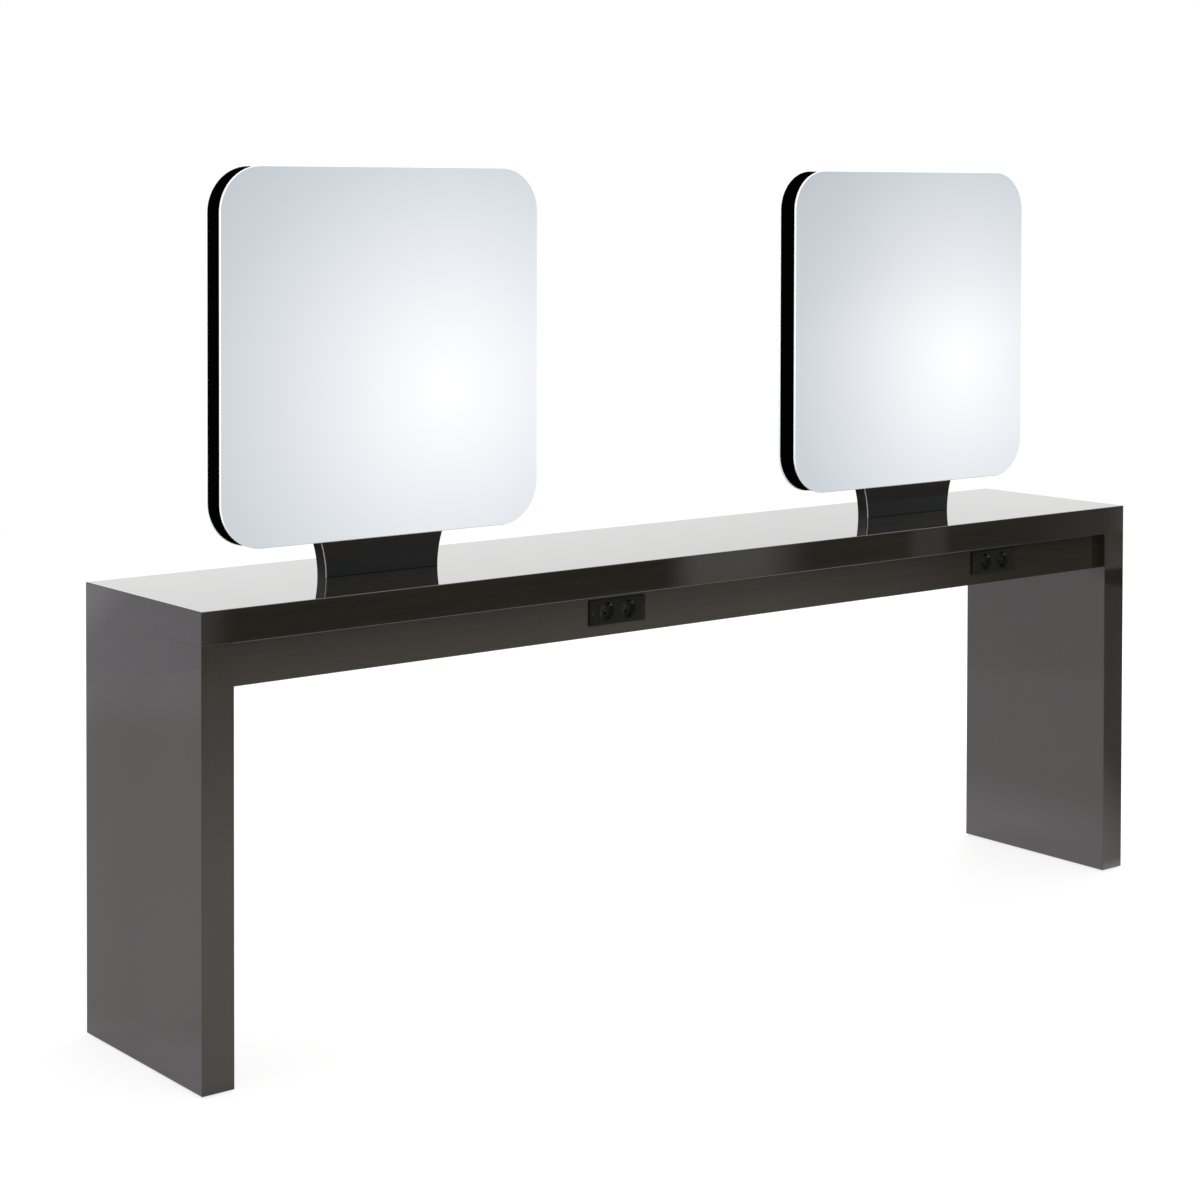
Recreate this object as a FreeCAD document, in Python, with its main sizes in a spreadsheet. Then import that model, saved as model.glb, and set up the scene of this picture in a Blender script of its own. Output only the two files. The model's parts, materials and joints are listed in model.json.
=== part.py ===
import FreeCAD, Part
import os
import re

import Sketcher

# Double sided salon station, in millimetres. +X runs along the table, +Y from the front to the
# rear, +Z up. The origin is on the floor, under the middle of the table.

doc = FreeCAD.newDocument("SalonStation")
sheet = doc.addObject("Spreadsheet::Sheet", "Sizes")

sizes = {
    # table
    "table_length": (2590, "length over the end panels"),
    "table_depth": (457, "front to rear"),
    "table_height": (900, "floor to the worktop's face"),
    "top_thickness": (65, "worktop"),
    "panel_thickness": (69, "end panel"),
    "floor_gap": (3, "floor to the end panel's foot"),
    "edge_bevel": (1, "softened edges of the lacquered boards"),
    # aprons
    "apron_height": (85, "apron board"),
    "apron_thickness": (18, "apron board"),
    "apron_setback": (21, "worktop's front edge to the apron's face"),
    # loose tongues and glue blocks that join the boards
    "top_tongue_length": (340, "across the depth"),
    "top_tongue_height": (44, "half in each board"),
    "top_tongue_thickness": (9, "between worktop and end panel"),
    "apron_tongue_length": (30, "half in each board"),
    "apron_tongue_height": (60, "up the apron's end"),
    "apron_tongue_thickness": (6, "between apron and end panel"),
    "tongue_play": (0.1, "clearance round a tongue"),
    "block_side": (30, "legs of a three-cornered glue block"),
    "block_length": (120, "glue block behind an apron"),
    "block_gap": (290, "inner socket module's middle to the glue block's middle"),
    "block_margin": (29, "end panel to the nearest glue block behind an apron"),
    "end_block_length": (280, "glue block at an end panel"),
    # levelling glides
    "glide_inset": (40, "panel's front edge to the glide's axis"),
    "glide_flats": (26, "across the flats of the six-sided foot"),
    "glide_height": (8, "foot"),
    "glide_seat": (5, "depth of the stud in the foot"),
    "glide_room": (3, "clearance round the foot in its recess"),
    "stud_diameter": (8, "threaded stud"),
    "stud_length": (36, "threaded stud"),
    "stud_play": (0.05, "clearance round the stud in the foot"),
    "nut_side": (16, "square sleeve nut over the glide's recess"),
    "nut_height": (32, "square sleeve nut over the glide's recess"),
    "nut_play": (0.1, "clearance round the nut"),
    "thread_play": (0.3, "clearance between the stud and what it turns in"),
    # socket modules
    "inner_shift": (457, "mirror's middle to the inner module's middle"),
    "outer_shift": (91, "mirror's middle to the outer module's middle"),
    "socket_drop": (35, "worktop's underside to the module's middle"),
    "plate_length": (149, "faceplate"),
    "plate_height": (54, "faceplate"),
    "plate_thickness": (4, "faceplate"),
    "plate_corner": (3, "corner radius of the faceplate"),
    "body_length": (108, "moulded body behind the faceplate"),
    "body_height": (43, "moulded body behind the faceplate"),
    "body_depth": (30, "moulded body behind the faceplate"),
    "outlet_pitch": (57, "between the two outlets"),
    "outlet_bore": (39.5, "recess that takes the plug"),
    "outlet_depth": (17.5, "depth of the recess"),
    "outlet_turn": (45, "degrees that the line of the pins is turned by"),
    "pin_spacing": (19, "between the two pin holes"),
    "pin_hole": (6, "pin hole in the recess floor"),
    "pin_floor": (4, "thickness of the recess floor"),
    "key_width": (4.6, "guide rib in the recess"),
    "key_height": (2.6, "guide rib, from the wall inwards"),
    "key_start": (2, "rim to the guide rib"),
    "key_root": (0.5, "how far the guide rib runs into the wall"),
    "contact_length": (11, "brass contact, along the pin"),
    "contact_width": (7, "brass contact, over both blades"),
    "contact_height": (5, "brass contact's blades"),
    "contact_sheet": (0.8, "brass contact's strip"),
    "contact_play": (0.2, "clearance round the contact in its chamber"),
    "clip_width": (5, "earth clip's spring strip"),
    "clip_thickness": (0.8, "earth clip's spring strip"),
    "clip_bulge": (3, "how far the strip bends inwards"),
    "clip_room": (0.25, "earth clip to the wall"),
    "clip_start": (3, "rim to the earth clip's outer end"),
    "clip_nose": (4, "flat part of the earth clip that the plug rubs on"),
    "box_wall": (1.8, "back box"),
    "box_room": (0.3, "clearance between body and back box"),
    "box_air": (10, "space for the wires behind the body"),
    "box_play": (0.5, "clearance round the back box in the apron"),
    # mirror units
    "mirror_inset": (539, "table's end to the mirror's middle"),
    "mirror_width": (766, "glass"),
    "mirror_height": (749, "glass"),
    "mirror_corner": (92, "corner radius of the glass"),
    "mirror_lift": (73, "worktop to the glass"),
    "glass_thickness": (6, "each mirror glass"),
    "core_thickness": (46, "board between the two glasses"),
    "core_inset": (2, "glass's edge to the core's edge"),
    # necks
    "neck_width": (272, "neck on the worktop"),
    "neck_flare": (13, "how much each side widens up to the mirror"),
    "neck_core_thickness": (24, "middle board of the neck"),
    "neck_cheek_thickness": (5, "glossy plate on each face of the neck"),
    # steel anchors
    "flange_length": (240, "flange under the worktop, along the table"),
    "flange_depth": (60, "flange under the worktop, across the table"),
    "flange_thickness": (6, "flange"),
    "spine_width": (160, "upright of the anchor"),
    "spine_thickness": (8, "upright of the anchor"),
    "spine_reach": (220, "how far the upright runs into the mirror's core"),
    "spine_taper": (12, "cut-off corners at the upright's top"),
    "slot_play": (0.5, "clearance round the upright in its slots"),
}

for row, (name, (size, meaning)) in enumerate(sizes.items(), start=1):
    sheet.set(f"A{row}", meaning)
    sheet.set(f"B{row}", str(size))
    sheet.setAlias(f"B{row}", name)
doc.recompute()

# Places that several pieces share, as formulas of the sizes.
underside = "(table_height - top_thickness)"
span = "(table_length - 2 * panel_thickness)"
end_middle = "((table_length - panel_thickness) / 2)"
mirror_middle = "(table_length / 2 - mirror_inset)"
inner_socket = f"({mirror_middle} - inner_shift)"
outer_socket = f"({mirror_middle} + outer_shift)"
apron_face = "(table_depth / 2 - apron_setback)"
apron_middle = "(table_depth / 2 - apron_setback - apron_thickness / 2)"
apron_back = "(table_depth / 2 - apron_setback - apron_thickness)"
glide_place = "(table_depth / 2 - glide_inset)"
glide_recess = "(glide_height - floor_gap)"
core_bottom = "(table_height + mirror_lift + core_inset)"
neck_height = "(mirror_lift + core_inset)"
mirror_bottom = "(table_height + mirror_lift)"
outlet_radius = "(outlet_bore / 2)"
recess_floor = "(outlet_depth - plate_thickness)"
box_length = "(body_length + 2 * box_room + 2 * box_wall)"
box_height = "(body_height + 2 * box_room + 2 * box_wall)"

upright = FreeCAD.Rotation()
half_turn = FreeCAD.Rotation(FreeCAD.Vector(0, 0, 1), 180)


def formula(text):
    """Points every size that the text names at its cell in the sheet."""
    return re.sub(r"[a-z_]+", lambda word: f"Sizes.{word[0]}" if word[0] in sizes else word[0], text)


def number(text):
    return float(sheet.evalExpression(formula(text)))


def bind(thing, **properties):
    for name, text in properties.items():
        thing.setExpression(name, formula(text))


def place(thing, x="0", y="0", z="0", turn=upright):
    """Puts a thing at (x, y, z), turned about its own origin."""
    thing.Placement = FreeCAD.Placement(FreeCAD.Vector(), turn)
    for axis, text in zip("xyz", (x, y, z)):
        thing.setExpression(f"Placement.Base.{axis}", formula(text))


# ---- sketches ----

def sketch_on(body, role, level="0"):
    """A sketch on one of the body's origin planes, moved by level along the plane's normal."""
    sketch = body.newObject("Sketcher::SketchObject", "Sketch")
    plane = next(feature for feature in body.Origin.OriginFeatures if feature.Role == role)
    sketch.AttachmentSupport = [(plane, "")]
    sketch.MapMode = "FlatFace"
    sketch.setExpression("AttachmentOffset.Base.z", formula(level))
    sketch.Visibility = False
    return sketch


def constrain(sketch, text, kind, *where):
    index = sketch.addConstraint(Sketcher.Constraint(kind, *where, number(text)))
    sketch.setExpression(f"Constraints[{index}]", formula(text))


def pin(sketch, geometry, point, x, y):
    """Holds one point of the geometry at (x, y) from the sketch's origin."""
    constrain(sketch, x, "DistanceX", -1, 1, geometry, point)
    constrain(sketch, y, "DistanceY", -1, 1, geometry, point)


def outline(sketch, corners, arcs=None):
    """A closed outline through the corners; arcs gives some sides, by number, a radius and a bow.

    The bow is the distance from the side's chord to the arc, positive to the right of the way
    round. It only says which way the arc goes: the radius holds its size.
    """
    arcs = arcs or {}
    points = [FreeCAD.Vector(number(x), number(y), 0) for x, y in corners]
    ends = []
    for side, start in enumerate(points):
        end = points[(side + 1) % len(points)]
        if side in arcs:
            chord = end - start
            out = FreeCAD.Vector(chord.y, -chord.x, 0).normalize()
            through = (start + end) / 2 + out * number(arcs[side][1])
            geometry = sketch.addGeometry(Part.Arc(start, through, end))
        else:
            geometry = sketch.addGeometry(Part.LineSegment(start, end))
        forward = sketch.getPoint(geometry, 1).distanceToPoint(start) < 1e-6
        ends.append((geometry, 1, 2) if forward else (geometry, 2, 1))
    for side, (geometry, first, last) in enumerate(ends):
        following, start, _ = ends[(side + 1) % len(ends)]
        sketch.addConstraint(Sketcher.Constraint("Coincident", geometry, last, following, start))
        pin(sketch, geometry, first, *corners[side])
        if side in arcs:
            constrain(sketch, arcs[side][0], "Radius", geometry)


def rectangle(sketch, middle_x, middle_y, width, height):
    left, right = f"{middle_x} - ({width}) / 2", f"{middle_x} + ({width}) / 2"
    low, high = f"{middle_y} - ({height}) / 2", f"{middle_y} + ({height}) / 2"
    outline(sketch, [(left, low), (right, low), (right, high), (left, high)])


def circles(sketch, diameter, middles):
    for x, y in middles:
        centre = FreeCAD.Vector(number(x), number(y), 0)
        round_edge = Part.Circle(centre, FreeCAD.Vector(0, 0, 1), number(diameter) / 2)
        geometry = sketch.addGeometry(round_edge)
        pin(sketch, geometry, 3, x, y)
        constrain(sketch, diameter, "Diameter", geometry)


# ---- features ----

def new_body(label):
    body = doc.addObject("PartDesign::Body", label)
    body.Label = label
    return body


def pad(body, sketch, length, midplane=False, turned=False):
    feature = body.newObject("PartDesign::Pad", "Pad")
    feature.Profile = sketch
    feature.Midplane = midplane
    feature.Reversed = turned
    bind(feature, Length=length)
    return feature


def pocket(body, sketch, depth=None, midplane=False, turned=False):
    """Cuts against the sketch's normal, or along it when turned; right through without a depth."""
    feature = body.newObject("PartDesign::Pocket", "Pocket")
    feature.Profile = sketch
    feature.Midplane = midplane
    feature.Reversed = turned
    if depth is None:
        feature.Type = "ThroughAll"
    else:
        bind(feature, Length=depth)
    return feature


def runs_along(edge, direction):
    if edge.Curve.TypeId != "Part::GeomLine":
        return False
    return abs(edge.tangentAt(edge.FirstParameter).dot(direction)) > 0.999


def dress(body, kind, chosen, **amounts):
    """A fillet or chamfer on the edges that chosen picks from the body as it stands."""
    doc.recompute()
    base = body.Tip
    names = [f"Edge{index}" for index, edge in enumerate(base.Shape.Edges, start=1) if chosen(edge)]
    feature = body.newObject(f"PartDesign::{kind}", kind)
    feature.Base = (base, names)
    bind(feature, **amounts)


def every_edge(edge):
    return True


def along_x(edge):
    return runs_along(edge, FreeCAD.Vector(1, 0, 0))


def along_y(edge):
    return runs_along(edge, FreeCAD.Vector(0, 1, 0))


def lies_on(axis, level):
    """Picks the edges that lie wholly in the plane where the axis has that level."""
    low, high = f"{axis}Min", f"{axis}Max"

    def chosen(edge):
        box = edge.BoundBox
        return abs(getattr(box, low) - level) < 0.01 and abs(getattr(box, high) - level) < 0.01

    return chosen


def holes(body, role, level, diameter, depth, middles, turned=False):
    sketch = sketch_on(body, role, level)
    circles(sketch, diameter, middles)
    pocket(body, sketch, depth, turned=turned)


# ---- pieces that repeat ----

masters = set()


def master(body):
    """A piece that is only used through its copies."""
    masters.add(body.Name)
    return body


def copies(label, piece, places):
    """One node that holds the piece once at each place (x, y, z, turn)."""
    node = doc.addObject("Part::Compound", label)
    node.Label = label
    links = []
    for x, y, z, turn in places:
        link = doc.addObject("App::Link", f"{label}_copy")
        link.LinkedObject = piece
        place(link, x, y, z, turn)
        links.append(link)
    node.Links = links
    return node


# ---- table boards ----

mirror_places = {"left": f"-{mirror_middle}", "right": mirror_middle}
glide_places = {"front": f"-{glide_place}", "rear": glide_place}
ends = {"left": f"-{end_middle}", "right": end_middle}


def worktop():
    body = new_body("worktop")
    board = sketch_on(body, "XY_Plane", underside)
    rectangle(board, "0", "0", "table_length", "table_depth")
    pad(body, board, "top_thickness")
    dress(body, "Chamfer", every_edge, Size="edge_bevel")

    slots = sketch_on(body, "XY_Plane", underside)
    for middle in mirror_places.values():
        rectangle(slots, middle, "0", "spine_width + 2 * slot_play", "spine_thickness + 2 * slot_play")
    pocket(body, slots, turned=True)

    grooves = sketch_on(body, "XY_Plane", underside)
    for x in ends.values():
        rectangle(grooves, x, "0", "top_tongue_thickness + 2 * tongue_play",
                  "top_tongue_length + 2 * tongue_play")
    pocket(body, grooves, "top_tongue_height / 2 + tongue_play", turned=True)


def end_panel(label, side, turn):
    """The panel's own frame: foot at its origin, and -X towards the middle of the table."""
    body = new_body(label)
    board = sketch_on(body, "XY_Plane", "floor_gap")
    rectangle(board, "0", "0", "panel_thickness", "table_depth")
    pad(body, board, f"{underside} - floor_gap")
    dress(body, "Chamfer", every_edge, Size="edge_bevel")

    groove = sketch_on(body, "XY_Plane", underside)
    rectangle(groove, "0", "0", "top_tongue_thickness + 2 * tongue_play",
              "top_tongue_length + 2 * tongue_play")
    pocket(body, groove, "top_tongue_height / 2 + tongue_play")

    sockets = sketch_on(body, "YZ_Plane", "-panel_thickness / 2")
    for sign in ("-", ""):
        rectangle(sockets, f"{sign}{apron_middle}", f"{underside} - apron_height / 2",
                  "apron_tongue_thickness + 2 * tongue_play", "apron_tongue_height + 2 * tongue_play")
    pocket(body, sockets, "apron_tongue_length / 2 + tongue_play", turned=True)

    glides = [("0", y) for y in glide_places.values()]
    recess = "(glide_flats / cos(30 deg) + 2 * glide_room)"
    holes(body, "XY_Plane", "floor_gap", recess, glide_recess, glides, turned=True)
    nuts = sketch_on(body, "XY_Plane", "glide_height")
    for _, y in glides:
        rectangle(nuts, "0", y, "nut_side + 2 * nut_play", "nut_side + 2 * nut_play")
    pocket(body, nuts, "nut_height + nut_play", turned=True)
    place(body, x=f"{side}{end_middle}", turn=turn)


def apron(label, side, turn):
    """The board's own frame: outer face at y = 0, top edge at z = 0, sockets seen from outside."""
    body = new_body(label)
    board = sketch_on(body, "XZ_Plane")
    rectangle(board, "0", "-apron_height / 2", span, "apron_height")
    pad(body, board, "apron_thickness", turned=True)
    at_foot = lies_on("Z", -number("apron_height"))
    dress(body, "Chamfer", lambda edge: along_x(edge) and at_foot(edge), Size="edge_bevel")

    openings = sketch_on(body, "XZ_Plane")
    for middle in (f"-{inner_socket}", outer_socket):
        rectangle(openings, middle, "-socket_drop", f"{box_length} + 2 * box_play",
                  f"{box_height} + 2 * box_play")
    pocket(body, openings)
    for sign, turned in (("", False), ("-", True)):
        groove = sketch_on(body, "YZ_Plane", f"{sign}{span} / 2")
        rectangle(groove, "apron_thickness / 2", "-apron_height / 2",
                  "apron_tongue_thickness + 2 * tongue_play", "apron_tongue_height + 2 * tongue_play")
        pocket(body, groove, "apron_tongue_length / 2 + tongue_play", turned=turned)
    place(body, y=f"{side}{apron_face}", z=underside, turn=turn)


def board_joints():
    """Loose tongues in the boards' grooves, and glued blocks in their inner corners."""
    tongue = new_body("top_tongue")
    sketch = sketch_on(tongue, "XY_Plane")
    rectangle(sketch, "0", "0", "top_tongue_thickness", "top_tongue_length")
    pad(tongue, sketch, "top_tongue_height", midplane=True)
    copies("top_tongues", master(tongue), [(x, "0", underside, upright) for x in ends.values()])

    tongue = new_body("apron_tongue")
    sketch = sketch_on(tongue, "YZ_Plane")
    rectangle(sketch, "0", "0", "apron_tongue_thickness", "apron_tongue_height")
    pad(tongue, sketch, "apron_tongue_length", midplane=True)
    copies("apron_tongues", master(tongue),
           [(f"{end}{span} / 2", f"{row}{apron_middle}", f"{underside} - apron_height / 2", upright)
            for end in ("-", "") for row in ("-", "")])

    block = new_body("apron_block")
    sketch = sketch_on(block, "YZ_Plane")
    outline(sketch, [("0", "0"), ("0", "-block_side"), ("block_side", "0")])
    pad(block, sketch, "block_length", midplane=True)
    master(block)
    middles = [f"-{inner_socket} - block_gap", f"({outer_socket} - {inner_socket}) / 2",
               f"{span} / 2 - block_margin - block_length / 2"]
    copies("apron_blocks", block,
           [(middle, f"-{apron_back}", underside, upright) for middle in middles]
           + [(f"-({middle})", apron_back, underside, half_turn) for middle in middles])

    block = new_body("end_block")
    sketch = sketch_on(block, "XZ_Plane")
    outline(sketch, [("0", "0"), ("-block_side", "0"), ("0", "-block_side")])
    pad(block, sketch, "end_block_length", midplane=True)
    copies("end_blocks", master(block),
           [(f"-{span} / 2", "0", underside, half_turn), (f"{span} / 2", "0", underside, upright)])


# ---- levelling glides ----

def glides():
    """A six-sided foot on a stud, which turns in a square sleeve nut let into the end panel."""
    foot = new_body("glide_foot")
    half = "(glide_flats / 2)"
    corner = f"({half} / cos(30 deg))"
    hexagon = sketch_on(foot, "XY_Plane")
    outline(hexagon, [(corner, "0"), (f"{corner} / 2", half), (f"-{corner} / 2", half),
                      (f"-{corner}", "0"), (f"-{corner} / 2", f"-{half}"), (f"{corner} / 2", f"-{half}")])
    pad(foot, hexagon, "glide_height")
    dress(foot, "Chamfer", lies_on("Z", 0), Size="edge_bevel")
    holes(foot, "XY_Plane", "glide_height", "stud_diameter + 2 * stud_play", "glide_seat", [("0", "0")])
    master(foot)

    stud = new_body("glide_stud")
    rod = sketch_on(stud, "XY_Plane")
    circles(rod, "stud_diameter", [("0", "0")])
    pad(stud, rod, "stud_length")
    master(stud)

    for row, y in glide_places.items():
        for side, x in ends.items():
            copies(f"glide_{row}_{side}_foot", foot, [(x, y, "0", upright)])
            copies(f"glide_{row}_{side}_stud", stud, [(x, y, "glide_height - glide_seat", upright)])

    nut = new_body("glide_nut")
    square = sketch_on(nut, "XY_Plane")
    rectangle(square, "0", "0", "nut_side", "nut_side")
    circles(square, "stud_diameter + 2 * thread_play", [("0", "0")])
    pad(nut, square, "nut_height")
    copies("glide_nuts", master(nut),
           [(x, y, "glide_height", upright) for x in ends.values() for y in glide_places.values()])


# ---- socket modules: in each one's own frame the apron's face is y = 0, and -Y faces the user ----

outlets = ["-outlet_pitch / 2", "outlet_pitch / 2"]


def turned_corners(middle, corners):
    """Corners given in an outlet's own frame, turned by outlet_turn and moved to its middle."""
    sine, cosine = "sin(outlet_turn * 1 deg)", "cos(outlet_turn * 1 deg)"
    return [(f"{middle} + ({x}) * {cosine} + ({z}) * {sine}", f"({z}) * {cosine} - ({x}) * {sine}")
            for x, z in corners]


def block_corners(middle_x, middle_z, width, height):
    """The corners of a rectangle in an outlet's own frame, in order round it."""
    left, right = f"{middle_x} - ({width}) / 2", f"{middle_x} + ({width}) / 2"
    low, high = f"{middle_z} - ({height}) / 2", f"{middle_z} + ({height}) / 2"
    return [(left, low), (right, low), (right, high), (left, high)]


def housing():
    """Faceplate and body in one moulding, with two recesses for round two-pin earthed plugs.

    In an outlet's own frame the pins lie in line with X and the guide ribs are at their ends; the
    frame is turned, so that the plugs sit aslant. Each pin hole opens into a chamber for a contact.
    """
    body = new_body("socket_housing")
    plate = sketch_on(body, "XZ_Plane")
    rectangle(plate, "0", "0", "plate_length", "plate_height")
    pad(body, plate, "plate_thickness")
    dress(body, "Fillet", along_y, Radius="plate_corner")
    block = sketch_on(body, "XZ_Plane")
    rectangle(block, "0", "0", "body_length", "body_height")
    pad(body, block, "body_depth", turned=True)
    holes(body, "XZ_Plane", "plate_thickness", "outlet_bore", "outlet_depth",
          [(x, "0") for x in outlets])

    ribs = sketch_on(body, "XZ_Plane", "plate_thickness - key_start")
    rib_middle = f"({outlet_radius} + key_root / 2 - key_height / 2)"
    for x in outlets:
        for side in ("-", ""):
            rib = block_corners(f"{side}{rib_middle}", "0", "key_height + key_root", "key_width")
            outline(ribs, turned_corners(x, rib))
    pad(body, ribs, "outlet_depth - key_start", turned=True)

    pins = [middle for x in outlets
            for middle in turned_corners(x, [("-pin_spacing / 2", "0"), ("pin_spacing / 2", "0")])]
    holes(body, "XZ_Plane", f"-{recess_floor}", "pin_hole", "pin_floor", pins)
    chambers = sketch_on(body, "XZ_Plane", "-body_depth")
    for x in outlets:
        for side in ("-", ""):
            chamber = block_corners(f"{side}pin_spacing / 2", "0", "contact_width + 2 * contact_play",
                                    "contact_height + 2 * contact_play")
            outline(chambers, turned_corners(x, chamber))
    pocket(body, chambers, f"body_depth - {recess_floor} - pin_floor", turned=True)
    return master(body)


def earth_clip():
    """A bent spring strip for the upper side of a recess, from near the rim down to the floor."""
    body = new_body("earth_clip")
    start = "(clip_start - plate_thickness)"
    middle = f"(({start} + {recess_floor}) / 2)"
    seat = f"(sqrt({outlet_radius} * {outlet_radius} - clip_width * clip_width / 4) - clip_room)"
    stations = [(start, "0"), (f"{middle} - clip_nose / 2", "clip_bulge"),
                (f"{middle} + clip_nose / 2", "clip_bulge"), (recess_floor, "0")]
    near = [(y, f"{seat} - {rise} - clip_thickness") for y, rise in stations]
    far = [(y, f"{seat} - {rise}") for y, rise in reversed(stations)]
    strip = sketch_on(body, "YZ_Plane")
    outline(strip, near + far)
    pad(body, strip, "clip_width", midplane=True)
    return master(body)


def pin_contact():
    """A folded strip whose two blades grip a pin from above and below; its fold is at the back."""
    body = new_body("pin_contact")
    front = f"({recess_floor} + pin_floor + contact_play)"
    back = f"({front} + contact_length)"
    outer, inner = "(contact_height / 2)", "(contact_height / 2 - contact_sheet)"
    strip = sketch_on(body, "YZ_Plane")
    outline(strip, [(front, f"-{outer}"), (back, f"-{outer}"), (back, outer), (front, outer),
                    (front, inner), (f"{back} - contact_sheet", inner),
                    (f"{back} - contact_sheet", f"-{inner}"), (front, f"-{inner}")])
    pad(body, strip, "contact_width", midplane=True)
    return master(body)


def back_box():
    body = new_body("back_box")
    outer = sketch_on(body, "XZ_Plane")
    rectangle(outer, "0", "0", box_length, box_height)
    pad(body, outer, "body_depth + box_air + box_wall", turned=True)
    inner = sketch_on(body, "XZ_Plane")
    rectangle(inner, "0", "0", f"{box_length} - 2 * box_wall", f"{box_height} - 2 * box_wall")
    pocket(body, inner, "body_depth + box_air")
    return master(body)


def socket_modules():
    moulding, clip, contact, box = housing(), earth_clip(), pin_contact(), back_box()
    tilt = FreeCAD.Rotation(FreeCAD.Vector(0, 1, 0), number("outlet_turn"))
    upside_down = FreeCAD.Rotation(FreeCAD.Vector(0, 1, 0), 180)
    level = f"({underside} - socket_drop)"
    across = "(pin_spacing / 2 * cos(outlet_turn * 1 deg))"
    down = "(pin_spacing / 2 * sin(outlet_turn * 1 deg))"
    clips, contacts = [], []
    modules = {"front_left": (f"-{inner_socket}", "-", upright), "front_right": (outer_socket, "-", upright),
               "rear_left": (f"-{outer_socket}", "", half_turn), "rear_right": (inner_socket, "", half_turn)}
    for name, (x, row, facing) in modules.items():
        face = f"{row}{apron_face}"
        copies(f"socket_{name}_housing", moulding, [(x, face, level, facing)])
        copies(f"socket_{name}_back_box", box, [(x, face, level, facing)])
        for outlet in outlets:
            middle = f"{x} + {outlet}"
            clips += [(middle, face, level, facing * tilt), (middle, face, level, facing * tilt * upside_down)]
            for sign, other in (("-", "+"), ("+", "-")):
                towards = sign if row == "-" else other
                contacts.append((f"{middle} {towards} {across}", face, f"{level} {other} {down}",
                                 facing * tilt))
    copies("earth_clips", clip, clips)
    copies("pin_contacts", contact, contacts)


# ---- mirror units ----

def spine_slot(body, depth=None):
    """The slot for the anchor's upright, from the board's lower edge upwards."""
    slot = sketch_on(body, "XY_Plane")
    rectangle(slot, "0", "0", "spine_width + 2 * slot_play", "spine_thickness + 2 * slot_play")
    pocket(body, slot, depth, turned=True)


def mirror_core(side, middle):
    body = new_body(f"mirror_{side}_core")
    board = sketch_on(body, "XZ_Plane")
    height = "(mirror_height - 2 * core_inset)"
    rectangle(board, "0", f"{height} / 2", "mirror_width - 2 * core_inset", height)
    pad(body, board, "core_thickness", midplane=True)
    dress(body, "Fillet", along_y, Radius="mirror_corner - core_inset")
    spine_slot(body, "spine_reach + slot_play")
    place(body, x=middle, z=core_bottom)


def mirror_glass(side, face, middle, y):
    body = new_body(f"mirror_{side}_glass_{face}")
    pane = sketch_on(body, "XZ_Plane")
    rectangle(pane, "0", "mirror_height / 2", "mirror_width", "mirror_height")
    pad(body, pane, "glass_thickness", midplane=True)
    dress(body, "Fillet", along_y, Radius="mirror_corner")
    place(body, x=middle, y=y, z=mirror_bottom)


def neck_board(label, thickness, middle, y="0"):
    """A board whose sides rise straight from the worktop and then flare out in an arc."""
    body = new_body(label)
    flare_radius = f"(neck_flare * neck_flare + {neck_height} * {neck_height}) / (2 * neck_flare)"
    foot, top = "neck_width / 2", "neck_width / 2 + neck_flare"
    bow = "-neck_flare / 4"
    board = sketch_on(body, "XZ_Plane")
    outline(board, [(f"-({foot})", "0"), (foot, "0"), (top, neck_height), (f"-({top})", neck_height)],
            {1: (flare_radius, bow), 3: (flare_radius, bow)})
    pad(body, board, thickness, midplane=True)
    place(body, x=middle, y=y, z="table_height")
    return body


def neck(side, middle):
    spine_slot(neck_board(f"neck_{side}_core", "neck_core_thickness", middle))
    cheek = "(neck_core_thickness + neck_cheek_thickness) / 2"
    neck_board(f"neck_{side}_cheek_front", "neck_cheek_thickness", middle, f"-{cheek}")
    neck_board(f"neck_{side}_cheek_rear", "neck_cheek_thickness", middle, cheek)


def anchor(side, middle):
    """The steel that carries a mirror: a flange under the worktop with an upright plate on it."""
    body = new_body(f"anchor_{side}")
    flange = sketch_on(body, "XY_Plane")
    rectangle(flange, "0", "0", "flange_length", "flange_depth")
    pad(body, flange, "flange_thickness", turned=True)
    spine = sketch_on(body, "XZ_Plane")
    rise = f"(top_thickness + {neck_height} + spine_reach)"
    outline(spine, [("-spine_width / 2", "0"), ("spine_width / 2", "0"),
                    ("spine_width / 2", f"{rise} - spine_taper"), ("spine_width / 2 - spine_taper", rise),
                    ("spine_taper - spine_width / 2", rise), ("-spine_width / 2", f"{rise} - spine_taper")])
    pad(body, spine, "spine_thickness", midplane=True)
    place(body, x=middle, z=underside)


def mirror_units():
    glass_place = "(core_thickness + glass_thickness) / 2"
    for side, middle in mirror_places.items():
        mirror_core(side, middle)
        mirror_glass(side, "front", middle, f"-{glass_place}")
        mirror_glass(side, "rear", middle, glass_place)
        neck(side, middle)
        anchor(side, middle)


worktop()
end_panel("end_panel_left", "-", half_turn)
end_panel("end_panel_right", "", upright)
apron("apron_front", "-", upright)
apron("apron_rear", "", half_turn)
board_joints()
glides()
socket_modules()
mirror_units()
doc.recompute()

# ---- checks and export ----

failed = [thing.Label for thing in doc.Objects if {"Invalid", "Error"} & set(thing.State)]
if failed:
    raise RuntimeError(f"these did not build: {failed}")

for cut in doc.findObjects("PartDesign::Pocket"):
    if cut.Shape.Volume > cut.BaseFeature.Shape.Volume - 1:
        raise RuntimeError(f"{cut.getParentGeoFeatureGroup().Label}: {cut.Label} cuts nothing")

bodies = [body for body in doc.findObjects("PartDesign::Body") if body.Name not in masters]
nodes = bodies + doc.findObjects("Part::Compound")
for node in nodes:
    if node.Shape.isNull() or not node.Shape.isValid():
        raise RuntimeError(f"{node.Label} is not a valid shape")

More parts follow.
